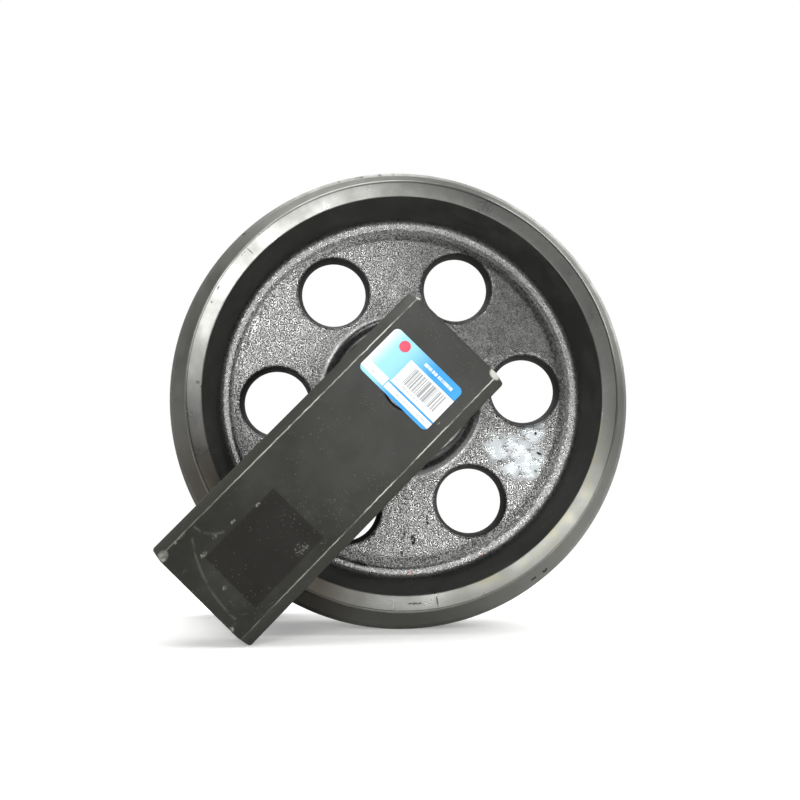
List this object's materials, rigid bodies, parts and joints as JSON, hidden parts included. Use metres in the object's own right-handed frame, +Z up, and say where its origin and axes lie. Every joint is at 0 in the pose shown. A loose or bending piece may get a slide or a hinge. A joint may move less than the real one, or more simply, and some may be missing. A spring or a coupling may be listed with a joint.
{
  "type": "excavator front idler",
  "caption": "Front idler for a crawler track: a cast wheel with a guide flange and round web holes, turning on a sealed shaft between two chamfered slide brackets.",
  "frame": {"origin": "on the ground under the middle of the wheel, where the upright idler stands on its flange and on the tail corners of its two brackets", "axes": "+Z up; +Y along the axle, from the near bracket to the far one; +X towards the brackets' short front ends"},
  "size_m": [0.44, 0.2244, 0.4401],
  "materials": {
    "black_casting": "rough black-painted steel casting, with the rim's running faces machined and rubbed bright",
    "black_plate": "satin black paint over smooth cast steel, worn bright along the edges",
    "ground_steel": "ground and oiled",
    "seal_iron": "lapped, bare",
    "bronze": "turned, bare",
    "copper": "soft sheet, bare",
    "rubber": "matte black nitrile"
  },
  "bodies": {
    "supports": {"near_bracket": "black_plate", "far_bracket": "black_plate", "shaft": "ground_steel", "near_lock_pin": "ground_steel", "far_lock_pin": "ground_steel", "oil_plug": "seal_iron", "oil_plug_washer": "copper", "near_bracket_seal_ring": "seal_iron", "near_bracket_toric_ring": "rubber", "near_shaft_o_ring": "rubber", "far_bracket_seal_ring": "seal_iron", "far_bracket_toric_ring": "rubber", "far_shaft_o_ring": "rubber"},
    "wheel": {"idler_rim": "black_casting", "idler_web": "black_casting", "near_bush": "bronze", "far_bush": "bronze", "near_wheel_seal_ring": "seal_iron", "near_wheel_toric_ring": "rubber", "far_wheel_seal_ring": "seal_iron", "far_wheel_toric_ring": "rubber"}
  },
  "joints": [
    {"name": "wheel_spin", "type": "hinge", "parent": "supports", "child": "wheel", "pos_m": [0, 0, 0.22], "axis": [0, 1, 0], "continuous": true}
  ]
}
